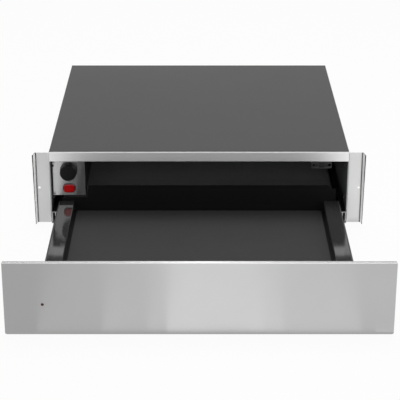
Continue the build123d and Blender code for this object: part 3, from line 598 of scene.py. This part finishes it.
class StageSettings(bpy.types.PropertyGroup):
    """Camera, lamps and floor."""

    camera_place: FloatVectorProperty(
        name="Camera", description="Where the camera stands", subtype="TRANSLATION",
        default=(-0.0047, -2.4403, 1.027))
    camera_pitch: FloatProperty(
        name="Camera pitch", description="Below the horizon", default=math.radians(23.342),
        unit="ROTATION")
    camera_shift: FloatVectorProperty(
        name="Camera shift", description="As shares of the picture's width", size=2,
        default=(0.0091, 0.0905))
    lens: FloatProperty(
        name="Lens", description="Focal length on a 36 mm sensor, in millimetres", default=131.808)
    room_light: FloatProperty(
        name="Room light", description="Strength of the even white surroundings", default=0.32)
    key_power: FloatProperty(
        name="Key lamp", description="Power of the large lamp overhead, in watts", default=30.0)
    side_power: FloatProperty(
        name="Side lamp", description="Power of the lamp at the right, in watts", default=10.0)
    front_power: FloatProperty(
        name="Front lamp", description="Power of the soft lamp in front, in watts", default=20.0)
    sheen: FloatProperty(
        name="Sheen", description="Strength of the soft bands mirrored in the front", default=1.0)
    floor_color: colour_setting("Floor", "Colour of the floor", grey(0.92))
    floor_whiteness: FloatProperty(
        name="Floor whiteness", description="How far the seen floor is lifted to white", default=0.93,
        min=0.0, max=1.0, subtype="FACTOR")


class SteelSettings(bpy.types.PropertyGroup):
    """Stainless and zinc finishes."""

    front_color: colour_setting("Front", "Colour of the drawer's front", grey(0.385))
    frame_color: colour_setting("Rail", "Colour of the rail", grey(0.90))
    flange_color: colour_setting("Flanges", "Colour of the side flanges", grey(0.76))
    control_color: colour_setting("Control plate", "Colour of the control plate", grey(0.50))
    zinc_color: colour_setting("Zinc", "Colour of the galvanised sheet", (0.50, 0.51, 0.52))
    base_color: colour_setting("Base", "Colour of the dulled zinc of the base", (0.45, 0.45, 0.46))
    plate_color: colour_setting(
        "Plating", "Colour of the balls, screws and small fittings", (0.62, 0.63, 0.64))
    slide_color: colour_setting("Slides", "Colour of the black zinc-plated slides", (0.03, 0.03, 0.031))
    roughness: FloatProperty(
        name="Roughness", description="Roughness of the brushed sheet", default=0.36, min=0.0, max=1.0,
        subtype="FACTOR")
    contrast: FloatProperty(
        name="Grain contrast", description="How strongly the grain shows", default=0.16, min=0.0,
        max=1.0, subtype="FACTOR")


class CoatingSettings(bpy.types.PropertyGroup):
    """Painted and enamelled sheet, plastics and rubber."""

    cover_color: colour_setting("Cover", "Colour of the grey coated cover", grey(0.078))
    baffle_color: colour_setting("Baffle", "Colour of the air baffle at the back", grey(0.45))
    tray_color: colour_setting("Tray", "Colour of the matt black tray", grey(0.007))
    liner_color: colour_setting("Liner", "Colour of the satin black lining", grey(0.012))
    enamel_color: colour_setting("Enamel", "Colour of the glossy black arms", grey(0.043))
    plastic_color: colour_setting("Plastic", "Colour of the black mouldings", (0.0048, 0.005, 0.0048))
    key_color: colour_setting("Rocker", "Colour of the rocker", (0.62, 0.0, 0.002))
    lens_color: colour_setting("Pilot lens", "Colour of the unlit pilot lens", (0.07, 0.014, 0.005))
    rubber_color: colour_setting("Rubber", "Colour of the bumpers and grommets", grey(0.02))
    board_color: colour_setting(
        "Board", "Colour of the mineral board over the ceiling", (0.42, 0.40, 0.33))


class HeaterSettings(bpy.types.PropertyGroup):
    """The fan, its motor and the heating element."""

    fan_color: colour_setting("Fan", "Colour of the impeller", (0.68, 0.69, 0.70))
    iron_color: colour_setting("Iron", "Colour of the motor's iron", (0.17, 0.17, 0.18))
    copper_color: colour_setting("Copper", "Colour of the motor's coil", (0.52, 0.22, 0.09))
    sheath_color: colour_setting("Sheath", "Colour of the heating element", (0.26, 0.23, 0.20))


class MatSettings(bpy.types.PropertyGroup):
    """The non-slip mat in the tray."""

    color: colour_setting("Colour", "Colour of the mat", grey(0.041))
    rib_pitch: FloatProperty(
        name="Rib pitch", description="Distance between the fine ribs", default=0.0024, unit="LENGTH")
    bead_width: FloatProperty(
        name="Bead width", description="Width of the raised edge", default=0.0032, unit="LENGTH")
    bead_height: FloatProperty(
        name="Bead height", description="Height of the raised edge", default=0.0005, unit="LENGTH")
    corner: FloatProperty(
        name="Corner radius", description="Radius of the mat's corners", default=0.006, unit="LENGTH")
    wave: FloatProperty(
        name="Waviness", description="Depth of the waves in the mat", default=0.0004, unit="LENGTH")
    cells: IntProperty(
        name="Cells", description="Grid cells across the mat", default=120, min=20, max=400)


class LeadSettings(bpy.types.PropertyGroup):
    """The lead inside the casing."""

    diameter: FloatProperty(
        name="Diameter", description="Diameter of the sleeve", default=0.005, unit="LENGTH")
    length: FloatProperty(
        name="Length", description="Length from the switch to the terminals", default=0.551,
        unit="LENGTH")
    braid_pitch: FloatProperty(
        name="Braid pitch", description="Distance between strands of the braid", default=0.0018,
        unit="LENGTH")
    sleeve_color: colour_setting("Sleeve", "Colour of the braided sleeve", (0.03, 0.03, 0.033))


# ------------------------------------------------------------------ stage
# Half width and height of the floor
FLOOR_REACH = 12.0
FLOOR_HEIGHT = -0.0005

# Half width, distance behind and lower and upper edge of the black card
CARD_REACH = 1.6
CARD_DISTANCE = 1.2
CARD_EDGES = (0.5, 0.95)
CARD_COLOR = grey(0.02)

# Of the camera, in millimetres
SENSOR_WIDTH = 36.0

# Place of each large lamp, the point it is aimed at, and its width and height
LAMPS = {
    "key": ((0.1, 0.45, 2.4), (0.0, 0.3, 0.0), (1.8, 1.4)),
    "side": ((2.6, -1.6, 1.4), (0.0, -0.1, 0.05), (1.0, 1.8)),
    "front": ((0.0, -3.2, 1.2), (0.0, 0.0, 0.0), (2.0, 1.0)),
}

# Left, right, near and far end of each band mirrored in the steel, and its brightness where white is 1
SHEEN_BANDS = {
    "wide_band": (-0.05, 1.45, -0.45, -2.85, 0.40),
    "outer_band": (-0.25, 0.25, -0.45, -2.85, 0.22),
    "middle_band": (-0.15, 0.13, -0.45, -2.85, 0.20),
    "inner_band": (-0.08, 0.10, -0.45, -2.85, 0.15),
    "right_band": (0.27, 1.45, -0.01, -0.45, 0.24),
}

# Between one band and the next above it
BAND_STEP = 0.001


class DRAWER_OT_stage(bpy.types.Operator):
    """Set up the surroundings, floor, card, lamps and camera"""
    bl_idname = "warming_drawer.stage"
    bl_label = "Stage"

    def execute(self, context):
        settings = context.scene.drawer_stage
        self.surroundings(context, settings)
        self.floor(context, settings)
        self.card(context)
        self.lamps(context, settings)
        self.bands(context, settings)
        self.camera(context, settings)
        return {"FINISHED"}

    def surroundings(self, context, settings):
        """Even light for the object, plain white for what the camera and mirrors see."""
        world = bpy.data.worlds.new("studio")
        context.scene.world = world
        shading = Shading(world)
        seen = seen_directly(shading)
        strength = shading.add("ShaderNodeMix", {}, {0: seen, 2: settings.room_light, 3: 1.0})
        background = shading.add("ShaderNodeBackground", {}, {"Color": grey(1.0), "Strength": strength[0]})
        shading.add("ShaderNodeOutputWorld", {}, {"Surface": background[0]})

    def floor(self, context, settings):
        """A wide pale floor just under the object, lifted to white where it is seen."""
        material = bpy.data.materials.new("pale_floor")
        shading = Shading(material)
        matt = shading.add("ShaderNodeBsdfDiffuse", {}, {"Color": settings.floor_color})
        white = shading.add("ShaderNodeEmission", {}, {"Strength": 1.0})
        lift = seen_directly(shading) * settings.floor_whiteness
        mixed = shading.add("ShaderNodeMixShader", {}, {0: lift, 1: matt[0], 2: white[0]})
        shading.add("ShaderNodeOutputMaterial", {}, {"Surface": mixed[0]})
        corners = [(x, y, FLOOR_HEIGHT) for x, y in rectangle(FLOOR_REACH, -FLOOR_REACH, FLOOR_REACH)]
        floor = flat_sheet(context, "floor", corners, material)

    def card(self, context):
        """A matt black card behind and above, seen only in reflections."""
        finish = Finish("black_card", Base_Color=CARD_COLOR, Roughness=1.0)
        corners = [(x, CARD_DISTANCE, z) for x, z in rectangle(CARD_REACH, *CARD_EDGES)]
        card = flat_sheet(context, "card", corners, finish.material)
        card.visible_camera = False
        card.visible_diffuse = False
        card.visible_shadow = False
        card.visible_transmission = False

    def lamps(self, context, settings):
        """The large soft lamps. The one in front is left out of reflections."""
        for name, (place, target, size) in LAMPS.items():
            lamp = area_lamp(context, name, place, target, size, getattr(settings, f"{name}_power"))
            lamp.visible_glossy = name != "front"

    def bands(self, context, settings):
        """Faint bands along the floor, each a little above the last, seen only in reflections."""
        for layer, (name, (left, right, near, far, glow)) in enumerate(SHEEN_BANDS.items(), 1):
            size = (right - left, near - far)
            place = ((left + right) / 2, (near + far) / 2, BAND_STEP * layer)
            above = (place[0], place[1], 1.0)
            power = settings.sheen * glow * math.pi * size[0] * size[1]
            band = area_lamp(context, name, place, above, size, power)
            band.visible_diffuse = False

    def camera(self, context, settings):
        data = bpy.data.cameras.new("camera")
        data.lens = settings.lens
        data.sensor_width = SENSOR_WIDTH
        data.shift_x, data.shift_y = settings.camera_shift
        camera = bpy.data.objects.new("camera", data)
        camera.location = settings.camera_place
        camera.rotation_euler = (math.pi / 2 - settings.camera_pitch, 0.0, 0.0)
        context.scene.collection.objects.link(camera)
        context.scene.camera = camera
        context.scene.view_settings.view_transform = "Standard"


def seen_directly(shading):
    """1 for the rays of the camera, of reflections and of transmission, 0 for diffuse light."""
    rays = shading.add("ShaderNodeLightPath")
    return rays["Is Camera Ray"].over(rays["Is Glossy Ray"]).over(rays["Is Transmission Ray"])


def rectangle(reach, low, high):
    """Corners of a rectangle as far to the left as to the right, in order round it."""
    return [(-reach, low), (reach, low), (reach, high), (-reach, high)]


def flat_sheet(context, name, corners, material):
    """A single face for the stage."""
    mesh = bmesh.new()
    mesh.faces.new([mesh.verts.new(corner) for corner in corners])
    data = bpy.data.meshes.new(name)
    mesh.to_mesh(data)
    mesh.free()
    data.materials.append(material)
    sheet = bpy.data.objects.new(name, data)
    context.scene.collection.objects.link(sheet)
    return sheet


def area_lamp(context, name, place, target, size, power):
    """A rectangular lamp aimed at a point, not seen by the camera."""
    data = bpy.data.lights.new(name, "AREA")
    data.shape = "RECTANGLE"
    data.size, data.size_y = size
    data.energy = power
    lamp = bpy.data.objects.new(name, data)
    lamp.location = place
    lamp.rotation_euler = (Vector(target) - Vector(place)).to_track_quat("-Z", "Y").to_euler()
    lamp.visible_camera = False
    context.scene.collection.objects.link(lamp)
    return lamp


# ------------------------------------------------------------------ casing and front frame
class DRAWER_OT_casing(bpy.types.Operator):
    """Finish the casing, its cover, lining, brackets and fasteners, and the drawer's carrier"""
    bl_idname = "warming_drawer.casing"
    bl_label = "Casing"

    def execute(self, context):
        steel = context.scene.drawer_steel
        coating = context.scene.drawer_coating
        dress(zinc_sheet("galvanised_sheet", steel.zinc_color),
              "rear_panel", *pair("side_panel"), "fan_bracket", "bearing_bridge")
        dress(zinc_sheet("dull_zinc", steel.base_color, roughness=0.6, metallic=0.15), "base_panel")
        dress(coated_sheet("grey_cover", coating.cover_color, roughness=0.5, specular=0.22), "top_panel")
        dress(coated_sheet("dark_liner", coating.liner_color, roughness=0.5),
              "ceiling_liner", "control_housing", "front_carrier")
        dress(coated_sheet("baffle_coating", coating.baffle_color, roughness=0.6, specular=0.3),
              "air_baffle")
        dress(fibre_board("mineral_board", coating.board_color), "insulation_board")
        dress(plated_steel("plated_steel", steel.plate_color), "rear_screws", "slide_rivets")
        return {"FINISHED"}


class DRAWER_OT_front_frame(bpy.types.Operator):
    """Finish the rail and the side flanges"""
    bl_idname = "warming_drawer.front_frame"
    bl_label = "Rail and flanges"

    def execute(self, context):
        steel = context.scene.drawer_steel
        dress(capped_rail("brushed_rail", steel.frame_color, roughness=0.45, contrast=steel.contrast),
              "top_rail")
        dress(folded_flange("brushed_flange", steel.flange_color, roughness=0.42, contrast=steel.contrast),
              *pair("side_flange"))
        dress(black_zinc("black_screws", steel.slide_color), "flange_screws")
        return {"FINISHED"}


class DRAWER_OT_slides(bpy.types.Operator):
    """Finish the telescopic slides"""
    bl_idname = "warming_drawer.slides"
    bl_label = "Slides"

    def execute(self, context):
        steel = context.scene.drawer_steel
        dress(black_zinc("black_zinc", steel.slide_color), *pair("slide_rail"), *pair("slide_runner"))
        dress(plated_steel("ball_steel", steel.plate_color, roughness=0.22),
              *pair("ball_cage"), *pair("slide_balls"))
        return {"FINISHED"}


# ------------------------------------------------------------------ drawer
# The bumpers' radius, the height of their skirt and of the step above it
BUMPER_RADIUS = 0.004
BUMPER_SKIRT = 0.0009
BUMPER_STEP = 0.0003

# The step's end as a share of the radius, and the dome as shares of the radius and the depth
BUMPER_NECK = 0.86
BUMPER_DOME = [(0.8, 0.6), (0.66, 0.86), (0.4, 0.97), (0, 1)]

# The mat's waves: changes per metre, the slice of the noise, and how far from the edge they fade
WAVE_RATE = 9.0
WAVE_SLICE = 0.3
WAVE_FADE = 0.02


class DRAWER_OT_drawer(bpy.types.Operator):
    """Finish the drawer's front, tray, arms and fittings, and make its bumpers"""
    bl_idname = "warming_drawer.drawer"
    bl_label = "Drawer"

    def execute(self, context):
        steel = context.scene.drawer_steel
        coating = context.scene.drawer_coating
        dress(edged_front("brushed_front", steel.front_color, steel.roughness, steel.contrast),
              "front_panel")
        dress(black_enamel("black_enamel", coating.enamel_color, roughness=0.08), *pair("side_arm"))
        dress(coated_sheet("matt_black", coating.tray_color, roughness=0.6, dust=0.04, specular=0.1),
              "tray", "rear_wall")
        dress(clear_key("amber_lens", coating.lens_color, dark=0.5, roughness=0.12), "pilot_lens")
        dress(moulded_plastic("holder_plastic", coating.plastic_color), "lens_holder")
        dress(plated_steel("striker_steel", steel.plate_color), "latch_striker")
        self.bumpers(coating)
        return {"FINISHED"}

    def bumpers(self, coating):
        """Domed pads with a thin skirt, one behind each corner of the front."""
        low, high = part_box("bumpers")
        depth = high.y - low.y
        neck = (BUMPER_RADIUS * BUMPER_NECK, BUMPER_SKIRT + BUMPER_STEP)
        profile = [(0, 0), (BUMPER_RADIUS, 0), (BUMPER_RADIUS, BUMPER_SKIRT), neck]
        profile += [(BUMPER_RADIUS * share, depth * rise) for share, rise in BUMPER_DOME]
        mesh = bmesh.new()
        for x in (low.x + BUMPER_RADIUS, high.x - BUMPER_RADIUS):
            for z in (low.z + BUMPER_RADIUS, high.z - BUMPER_RADIUS):
                turned(mesh, (x, low.y, z), profile, segments=40)
        pads = new_piece("bumper_pads", mesh, "drawer",
                         soft_rubber("bumper_rubber", coating.rubber_color))
        smooth(pads, angle=50)
        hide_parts("bumpers")


class DRAWER_OT_mat(bpy.types.Operator):
    """Make the non-slip mat that lies in the tray"""
    bl_idname = "warming_drawer.mat"
    bl_label = "Mat"

    def execute(self, context):
        settings = context.scene.drawer_mat
        low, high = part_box("slip_mat")
        mesh = bmesh.new()
        self.sheet(mesh, low, high, settings)
        mat = new_piece("non_slip_mat", mesh, "drawer",
                        mat_rubber("mat_rubber", settings.color, settings.rib_pitch))
        smooth(mat, angle=60)
        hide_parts("slip_mat")
        return {"FINISHED"}

    def sheet(self, mesh, low, high, settings):
        """A closed sheet: a waved top with a raised bead at its edge, upright sides and a flat underside."""
        middle = (low + high) / 2
        half = (high - low) / 2
        across = settings.cells
        down = round(across * half.y / half.x)
        tops = {}
        for row in range(down + 1):
            for column in range(across + 1):
                u = column / across * 2 - 1
                v = row / down * 2 - 1
                x, y = self.spot(u, v, half, settings.corner)
                edge = min(half.x - abs(x), half.y - abs(y))
                bead = self.bead(edge, settings)
                wave = self.wave(x, y, edge, settings)
                z = high.z - settings.bead_height + bead + wave
                tops[column, row] = mesh.verts.new((middle.x + x, middle.y + y, z))
        bottoms = {key: mesh.verts.new((top.co.x, top.co.y, low.z)) for key, top in tops.items()
                   if key[0] in (0, across) or key[1] in (0, down)}
        for row in range(down):
            for column in range(across):
                cell = [(column, row), (column + 1, row), (column + 1, row + 1), (column, row + 1)]
                mesh.faces.new([tops[key] for key in cell])
        ring = [(column, 0) for column in range(across)]
        ring += [(across, row) for row in range(down)]
        ring += [(column, down) for column in range(across, 0, -1)]
        ring += [(0, row) for row in range(down, 0, -1)]
        for first, second in zip(ring, ring[1:] + ring[:1]):
            mesh.faces.new([tops[second], tops[first], bottoms[first], bottoms[second]])
        mesh.faces.new([bottoms[key] for key in reversed(ring)])

    def spot(self, u, v, half, corner):
        """A grid place whose outermost rows follow the rounded corners."""
        x = u * half.x
        y = v * half.y
        over_x = abs(x) - (half.x - corner)
        over_y = abs(y) - (half.y - corner)
        if over_x > 0 and over_y > 0:
            reach = math.hypot(over_x, over_y)
            square = max(over_x, over_y)
            x = math.copysign(half.x - corner + over_x * square / reach, x)
            y = math.copysign(half.y - corner + over_y * square / reach, y)
        return x, y

    def bead(self, edge, settings):
        """Height of the bead this far in from the mat's edge."""
        if edge >= settings.bead_width:
            return 0.0
        return settings.bead_height * math.sin(math.pi * edge / settings.bead_width)

    def wave(self, x, y, edge, settings):
        """Rise or fall of the mat here, none at its edge."""
        swell = noise.noise(Vector((x * WAVE_RATE, y * WAVE_RATE, WAVE_SLICE)))
        return settings.wave * (swell * 0.5) * min(1, edge / WAVE_FADE)


# ------------------------------------------------------------------ controls and latch
class DRAWER_OT_controls(bpy.types.Operator):
    """Finish the control plate, knob, rocker and thermostat"""
    bl_idname = "warming_drawer.controls"
    bl_label = "Controls"

    def execute(self, context):
        steel = context.scene.drawer_steel
        coating = context.scene.drawer_coating
        dress(brushed_steel("brushed_control", steel.control_color, roughness=0.24, contrast=0.05),
              "control_plate")
        dress(moulded_plastic("knob_plastic", coating.plastic_color, roughness=0.36), "thermostat_knob")
        dress(moulded_plastic("switch_plastic", coating.plastic_color, roughness=0.48),
              "switch_frame", "thermostat")
        dress(clear_key("red_key", coating.key_color, dark=0.75, roughness=0.22), "rocker")
        dress(plated_steel("shaft_steel", steel.plate_color), "thermostat_shaft")
        return {"FINISHED"}


class DRAWER_OT_latch(bpy.types.Operator):
    """Finish the push-to-open latch"""
    bl_idname = "warming_drawer.latch"
    bl_label = "Latch"

    def execute(self, context):
        steel = context.scene.drawer_steel
        coating = context.scene.drawer_coating
        dress(black_zinc("bracket_steel", shade(steel.slide_color, 1.6), roughness=0.45), "latch_bracket")
        dress(moulded_plastic("latch_plastic", shade(coating.plastic_color, 5.0)),
              "latch_housing", "latch_plunger")
        return {"FINISHED"}


# ------------------------------------------------------------------ fan heater and mains
# The lead's route: out of the switch, up to the ceiling's corner, through both grommets, to the terminals
LEAD_ROUTE = [
    (-0.2339, 0.0446, 0.0594), (-0.2339, 0.0746, 0.0594), (-0.244, 0.147, 0.104), (-0.244, 0.237, 0.104),
    (-0.242, 0.319, 0.1), (-0.244, 0.413, 0.104), (-0.244, 0.479, 0.104), (-0.1995, 0.4998, 0.078),
    (-0.1775, 0.4998, 0.0478), (-0.1775, 0.4998, 0.0238),
]


class DRAWER_OT_heater(bpy.types.Operator):
    """Finish the fan, its motor, the heating element and the safety cut-out"""
    bl_idname = "warming_drawer.heater"
    bl_label = "Fan heater"

    def execute(self, context):
        steel = context.scene.drawer_steel
        coating = context.scene.drawer_coating
        heater = context.scene.drawer_heater
        dress(turned_alloy("fan_alloy", heater.fan_color), "fan_impeller")
        dress(plated_steel("fan_shaft_steel", steel.plate_color, roughness=0.2), "fan_shaft")
        dress(stacked_iron("motor_iron", heater.iron_color), "motor_stator", "motor_rotor")
        dress(wound_copper("coil_copper", heater.copper_color), "motor_coil")
        dress(heated_tube("heater_sheath", heater.sheath_color), "heating_element")
        dress(moulded_plastic("cutout_plastic", coating.plastic_color, roughness=0.5), "safety_cutout")
        return {"FINISHED"}


class DRAWER_OT_mains(bpy.types.Operator):
    """Finish the terminal block, gland and grommets, and run the lead inside the casing"""
    bl_idname = "warming_drawer.mains"
    bl_label = "Mains connection"

    def execute(self, context):
        coating = context.scene.drawer_coating
        dress(moulded_plastic("terminal_plastic", shade(coating.plastic_color, 2.0), roughness=0.5),
              "terminal_block", "cable_gland")
        dress(soft_rubber("grommet_rubber", coating.rubber_color), "loom_grommets")
        self.lead(context, context.scene.drawer_lead)
        return {"FINISHED"}

    def lead(self, context, settings):
        """A braided lead on one smooth line along its route."""
        curve = bpy.data.curves.new("lead", "CURVE")
        curve.dimensions = "3D"
        curve.bevel_depth = settings.diameter / 2
        curve.bevel_resolution = 6
        curve.use_fill_caps = True
        spline = curve.splines.new("NURBS")
        spline.points.add(len(LEAD_ROUTE) - 1)
        for point, place in zip(spline.points, LEAD_ROUTE):
            point.co = (*place, 1.0)
        spline.order_u = 3
        spline.use_endpoint_u = True
        spline.resolution_u = 16
        lead = bpy.data.objects.new("switch_lead", curve)
        context.scene.collection.objects.link(lead)
        finish = braided_sleeve("lead_sleeve", settings.sleeve_color, settings.braid_pitch)
        curve.materials.append(finish.material)
        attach(lead, "cabinet")
        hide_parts("wiring_loom")


# ------------------------------------------------------------------ panel and registration
class DRAWER_PT_panel(bpy.types.Panel):
    """Warming drawer tools"""
    bl_label = "Warming Drawer"
    bl_idname = "DRAWER_PT_panel"
    bl_space_type = "VIEW_3D"
    bl_region_type = "UI"
    bl_category = "Warming Drawer"

    def draw(self, context):
        for name in GROUPS:
            box = self.layout.box()
            settings = getattr(context.scene, name)
            for key in settings.__annotations__:
                box.prop(settings, key)
        for operator in OPERATORS:
            self.layout.operator(operator.bl_idname)


GROUPS = {"drawer_stage": StageSettings, "drawer_steel": SteelSettings, "drawer_coating": CoatingSettings,
          "drawer_heater": HeaterSettings, "drawer_mat": MatSettings, "drawer_lead": LeadSettings}
OPERATORS = (DRAWER_OT_stage, DRAWER_OT_casing, DRAWER_OT_front_frame, DRAWER_OT_slides, DRAWER_OT_drawer,
             DRAWER_OT_mat, DRAWER_OT_controls, DRAWER_OT_latch, DRAWER_OT_heater, DRAWER_OT_mains)


def register():
    for name, group in GROUPS.items():
        bpy.utils.register_class(group)
        setattr(bpy.types.Scene, name, PointerProperty(type=group))
    for operator in OPERATORS:
        bpy.utils.register_class(operator)
    bpy.utils.register_class(DRAWER_PT_panel)


def unregister():
    bpy.utils.unregister_class(DRAWER_PT_panel)
    for operator in reversed(OPERATORS):
        bpy.utils.unregister_class(operator)
    for name, group in reversed(GROUPS.items()):
        delattr(bpy.types.Scene, name)
        bpy.utils.unregister_class(group)


def main():
    register()
    for operator in OPERATORS:
        group, name = operator.bl_idname.split(".")
        getattr(getattr(bpy.ops, group), name)()


if __name__ == "__main__":
    main()
